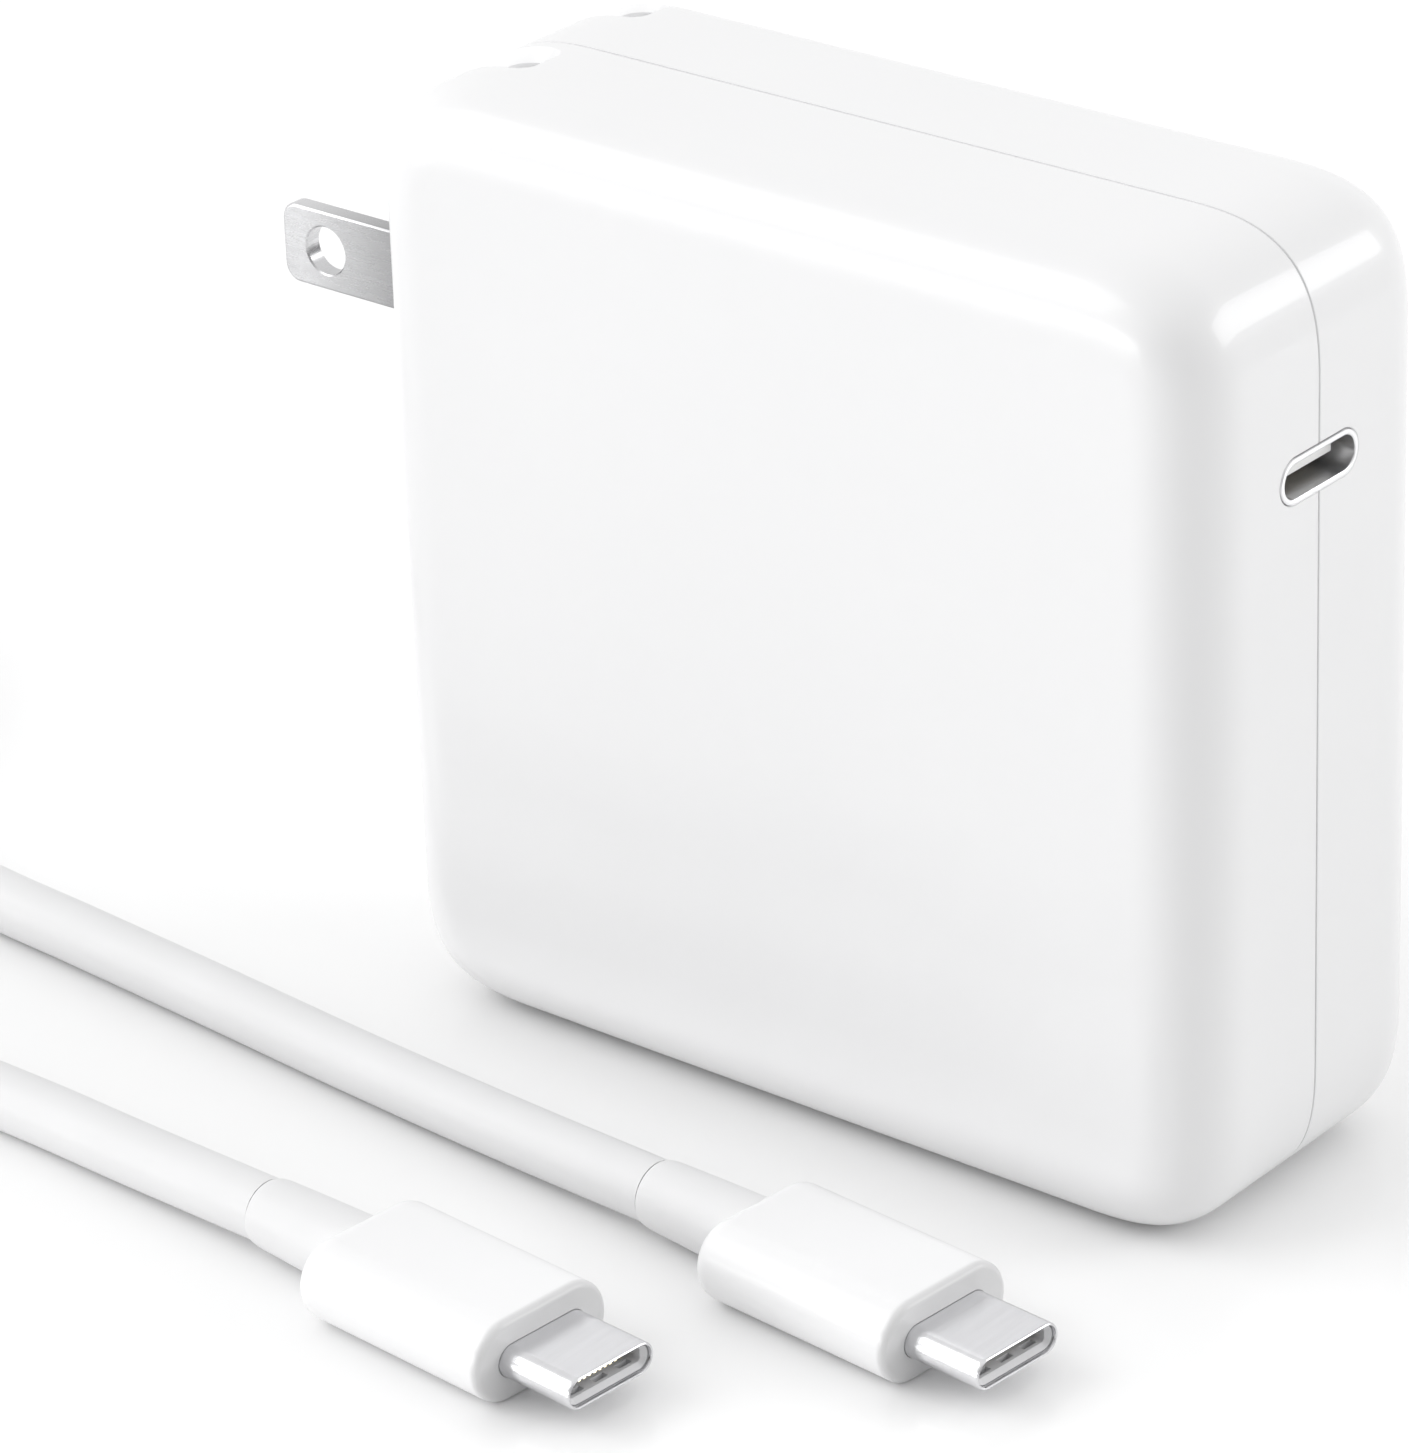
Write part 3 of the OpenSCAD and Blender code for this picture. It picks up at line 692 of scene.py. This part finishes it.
def add_strap():
    """Fabric strap laid round all the turns on the coil's far side."""
    low, high = (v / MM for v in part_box("coil_tie"))
    half_w, half_h = (high.x - low.x) / 2, (high.z - low.z) / 2
    centre = (low + high) / 2
    inside = 0.05
    outline = rounded_outline(half_w - inside, half_h - inside, STRAP_R, 2.0, 8)
    edge, thick = 0.1, STRAP_T
    y0, y1 = low.y, high.y
    profile = [
        (-thick, y0 + edge), (-thick + edge, y0), (-edge, y0), (0, y0 + edge),
        (0, y1 - edge), (-edge, y1), (-thick + edge, y1), (-thick, y1 - edge),
    ]
    strap = loft(
        "coil_strap",
        [ring(outline, g, lambda x, z, y=y: (centre.x + x, y, centre.z + z)) for g, y in profile],
        loop=True,
    )
    smooth(strap)
    return piece(strap, "tie_strap", "coil_tie")


strap = add_strap()


# ---------- housing ----------

BODY_LOW, BODY_HIGH = (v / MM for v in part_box("front_shell"))
HALF = (BODY_HIGH.x - BODY_LOW.x) / 2
MID_Z = (BODY_HIGH.z + BODY_LOW.z) / 2
HALF_T = -BODY_LOW.y
WALL = 2.2
CORNER_R, CORNER_POWER = 11.6, 3.0
RIM_INSET, RIM_DEPTH, RIM_POWER = 5.6, 6.0, 2.25
OUTLINE = rounded_outline(HALF, HALF, CORNER_R, CORNER_POWER, 26)

PLATE_LOW, PLATE_HIGH = (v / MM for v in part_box("plug_base"))
PIVOT = next(j for j in frame["joints"] if j["name"] == "blade_fold")["pos_m"]
PIVOT_X, PIVOT_Z = PIVOT[0] / MM, PIVOT[2] / MM
BLADE_LOW, BLADE_HIGH = (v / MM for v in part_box("blade_front"))
BLADE_T = BLADE_HIGH.y - BLADE_LOW.y
BLADE_MIDS = [sum(v.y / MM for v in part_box(node)) / 2 for node in ("blade_front", "blade_back")]
MIDDLE_Y = sum(BLADE_MIDS) / 2
PLATE_Y = (PLATE_LOW.y + PLATE_HIGH.y) / 2
PLATE_HALF_W = (PLATE_HIGH.y - PLATE_LOW.y) / 2
BLADE_Z = PIVOT_Z + 3.1  # the pivot lies in the heel, below the blade's centre line
BLADE_HALF_H, BLADE_TIP_R, BLADE_BEVEL = 3.175, 1.4, 0.24
HOLE_R, HOLE_FROM_TIP = 1.9, 4.2
TRUNNION_BORE_R, BARREL_BORE_R = 1.55, 2.5
BARREL_BORE_HALF, WELL_HALF = 5.6, 4.9
PLATE_HALF_H, PLATE_R = 6.5, 3
BLOCK_SECTIONS = ((-8.3, 0), (8.3, 0), (9.3, 0.1), (10.3, 0.45), (11.2, 1.05))  # (y, inset)
BLOCK_GAP = 0.05  # between the block and the inside of the shells
SLOT_W = 3.0
SLOT_END_X = PIVOT_X + 7.6
SLOT_FLOOR = PIVOT_Z - 2.9
SLOT_BEVEL, SLOT_DEPTH = 0.95, 3.2
PORT_LOW, PORT_HIGH = (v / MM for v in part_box("receptacle_shell"))
PORT_Z = (PORT_LOW.z + PORT_HIGH.z) / 2
PORT_W, PORT_H = 8.34, 2.56


def port_outline():
    """The port's opening, with fully round ends."""
    width, height = PORT_W, PORT_H
    return rounded_outline(width / 2, height / 2, height / 2 - 1e-4, 2.0, 12)


def plate_outline():
    """The raised plate, seen from the left."""
    return rounded_outline(PLATE_HALF_W, PLATE_HALF_H, PLATE_R, 2.0, 8)


def along_port(x):
    """Puts an outline round the port's axis at a distance along X."""
    return lambda y, z: (x, y, PORT_Z + z)


def along_plate(x):
    """Puts an outline round the raised plate's axis at a distance along X."""
    return lambda y, z: (x, PLATE_Y + y, BLADE_Z + z)


def side_openings():
    """Tools for the port's hole, the raised plate's hole and the two slots over the corner."""
    port = [
        (0.45, HALF - 4), (0.45, HALF - 0.42), (0.48, HALF - 0.42),
        (0.48, HALF - 0.08), (0.76, HALF + 0.2),
    ]
    tools = [loft("port_hole", [ring(port_outline(), g, along_port(x)) for g, x in port])]
    plate = [(0.06, -HALF + 4.7), (0.06, -HALF + 0.12), (0.36, -HALF - 0.18)]
    tools.append(loft("plate_hole", [ring(plate_outline(), g, along_plate(x)) for g, x in plate]))
    return tools + [slot_tool(y) for y in BLADE_MIDS]


def slot_tool(y):
    """A slot swept up the side and over the top left corner, with bevels and a round end."""
    fine = rounded_outline(HALF, HALF, CORNER_R, CORNER_POWER, 110)
    end = SLOT_END_X
    top_left = [p for p in reversed(fine[len(fine) // 4 : len(fine) // 2]) if p[0][0] < end]
    route = [((-HALF, SLOT_FLOOR - MID_Z + 1), (-1, 0))] + top_left[::3] + top_left[-2:]
    rings = []
    for (x, z), (nx, nz) in route:
        half = SLOT_W / 2
        past = x - (end - half)
        if past > 0:
            half = math.sqrt(max(0.0001, half * half - past * past))
        bevel, deep = SLOT_BEVEL, SLOT_DEPTH
        side = [
            (half + 1 + bevel, 1), (half, -bevel), (half, -deep),
            (-half, -deep), (-half, -bevel), (-half - 1 - bevel, 1),
        ]
        rings.append([(x + nx * v, y + u, MID_Z + z + nz * v) for u, v in side])
    return loft("slot_tool", rings)


def half_shell(name, sign, node):
    """One half of the housing: a section swept round the outline, closed by its two faces."""
    edge = quarter_profile(RIM_INSET, RIM_DEPTH, RIM_POWER, 16)
    inner = quarter_profile(RIM_INSET - WALL, RIM_DEPTH - WALL, RIM_POWER, 6)
    section = [(d, HALF_T - h) for d, h in reversed(edge)]
    section += [(0, 0.2), (0.03, 0.1), (0.1, 0.06), (0.35, 0.05)]
    if sign < 0:
        section += [(1.2, 0.05), (1.2, -1.0), (WALL, -1.0)]
    else:
        section += [(1.1, 0.05), (1.1, 1.12), (WALL, 1.12)]
    section += [(WALL + d, HALF_T - WALL - h) for d, h in inner]
    rings = [
        ring(OUTLINE, -d, lambda x, z, y=sign * y: (x, y, MID_Z + z)) for d, y in section
    ]
    shell = loft(name, rings)
    combine(shell, side_openings())
    smooth(shell, 28)
    return piece(shell, "shell_plastic", node)


half_shell("housing_front", -1, "front_shell")
half_shell("housing_back", 1, "back_shell")


def add_plug_base():
    """Raised plate with a rounded rim, the block behind it, its slots and bearings."""
    edge = quarter_profile(0.5, 0.5, 2.0, 5)
    face = PLATE_LOW.x
    rings = [ring(plate_outline(), -i, along_plate(face + d)) for i, d in reversed(edge)]
    rings.append(ring(plate_outline(), 0, along_plate(face + 5.6)))
    base = loft("blade_housing", rings)
    inner = OUTLINE[len(OUTLINE) // 4 : len(OUTLINE) // 2]
    sections = []
    for y, inset in BLOCK_SECTIONS:
        d = WALL + BLOCK_GAP + inset
        wall = [(x - nx * d, MID_Z + z - nz * d) for (x, z), (nx, nz) in inner]
        wall = [w for w in wall if w[0] < PLATE_HIGH.x - 0.2 - inset][-20:]
        section = [(PLATE_HIGH.x, PLATE_LOW.z), (PLATE_HIGH.x, wall[0][1])]
        section += wall + [(wall[-1][0], PLATE_LOW.z)]
        sections.append([(x, y, z) for x, z in section])
    combine(base, [loft("block", sections)], "UNION")
    tools = []
    half = SLOT_W / 2
    for y in BLADE_MIDS:
        flare = [
            (half + 0.25, face - 0.1), (half, face + 0.15),
            (half, SLOT_END_X - 0.6), (half - 0.6, SLOT_END_X),
        ]
        outline = [(x, y + w) for w, x in flare] + [(x, y - w) for w, x in reversed(flare)]
        levels = (SLOT_FLOOR, MID_Z + HALF)
        tools.append(loft("slot", [[(x, v, z) for x, v in outline] for z in levels]))
    bore = [(TRUNNION_BORE_R, -13), (TRUNNION_BORE_R, 13)]
    tools.append(rod_y("bore", PIVOT_X, PIVOT_Z, bore, 40))
    reach = [(BARREL_BORE_R, MIDDLE_Y + v) for v in (-BARREL_BORE_HALF, BARREL_BORE_HALF)]
    tools.append(rod_y("barrel", PIVOT_X, PIVOT_Z, reach, 48))
    well_low = (PIVOT_X, MIDDLE_Y - WELL_HALF, PIVOT_Z - BARREL_BORE_R)
    well_high = (PLATE_HIGH.x + 1, MIDDLE_Y + WELL_HALF, PIVOT_Z + BARREL_BORE_R)
    tools.append(box("well", well_low, well_high))
    combine(base, tools)
    smooth(base)
    return piece(base, "shell_plastic", "plug_base")


add_plug_base()


# ---------- mains blades ----------


def add_blade(name, node, y):
    """Flat blade with rolled edges, a rounded tip, a heel at the pivot and a bevelled hole."""
    tip, tail = BLADE_LOW.x, BLADE_HIGH.x
    half, radius, thick, bevel = BLADE_HALF_H, BLADE_TIP_R, BLADE_T, BLADE_BEVEL
    outline = []
    for start, middle in ((math.pi / 2, half - radius), (math.pi, -half + radius)):
        for k in range(9):
            c, s = math.cos(start + math.pi / 16 * k), math.sin(start + math.pi / 16 * k)
            outline.append(((tip + radius + radius * c, middle + radius * s), (c, s)))
    outline += [((tail, -half), (0.7, -0.7)), ((tail, half), (0.7, 0.7))]
    edge = quarter_profile(bevel, bevel, 2.0, 4)
    place = lambda v: lambda x, z: (x, v, BLADE_Z + z)
    rings = [ring(outline, -i, place(y - thick / 2 + d)) for i, d in reversed(edge)]
    rings += [ring(outline, -i, place(y + thick / 2 - d)) for i, d in edge]
    blade = loft(name, rings)
    wide = HOLE_R + 0.12
    flare = [
        (wide, y - 1.2), (wide, y - 0.76), (HOLE_R, y - 0.64),
        (HOLE_R, y + 0.64), (wide, y + 0.76), (wide, y + 1.2),
    ]
    combine(blade, [rod_y("hole", tip + HOLE_FROM_TIP, BLADE_Z, flare)])
    heel_low = (PIVOT_X - 0.6, y - thick / 2, PIVOT_Z - 1.5)
    heel_high = (tail, y + thick / 2, PIVOT_Z + 0.5)
    combine(blade, [box("heel", heel_low, heel_high)], "UNION")
    smooth(blade, 40)
    return piece(blade, "blade_metal", node, body="blades")


add_blade("mains_blade_front", "blade_front", BLADE_MIDS[0])
add_blade("mains_blade_back", "blade_back", BLADE_MIDS[1])


# ---------- charging port ----------


def add_port():
    """Drawn shell with a polished rim, and the tongue with its chamfered nose."""
    front, back = PORT_HIGH.x, PORT_LOW.x
    profile = [
        (0, back + 1), (0, front - 0.2), (0.02, front - 0.08), (0.08, front - 0.02), (0.15, front),
        (0.3, front), (0.39, front - 0.03), (0.43, front - 0.1), (0.43, front - 0.45),
        (0.33, front - 0.45), (0.33, back),
    ]
    shell = loft("port_shell", [ring(port_outline(), g, along_port(x)) for g, x in profile])
    smooth(shell)
    piece(shell, "port_metal", "receptacle_shell")
    low, high = (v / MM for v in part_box("receptacle_tongue"))
    half_y, half_z, nose = (high.y - low.y) / 2, (high.z - low.z) / 2, high.x
    outline = rounded_outline(half_y, half_z, 0.12, 2.0, 3)
    rings = [ring(outline, 0, along_port(low.x))]
    chamfer = ((0, nose - 0.2), (-0.02, nose - 0.08), (-0.1, nose))
    rings += [ring(outline, g, along_port(x)) for g, x in chamfer]
    tongue = loft("port_tongue", rings)
    smooth(tongue)
    piece(tongue, "port_plastic", "receptacle_tongue")


add_port()


# ---------- floor ----------

FLOOR_HALF = 4000


def add_floor():
    """Plain white ground, with a faint sheen."""
    r = FLOOR_HALF
    corners = [(-r, -r, 0), (r, -r, 0), (r, r, 0), (-r, r, 0)]
    floor = build("floor", corners, [(0, 1, 2, 3)])
    white = (0.95, 0.95, 0.95)
    plain = surface("floor", white, 0.004, 4, (0.12, 0.16), 30, 0.0, specular=0.3)
    floor.data.materials.append(plain)


add_floor()
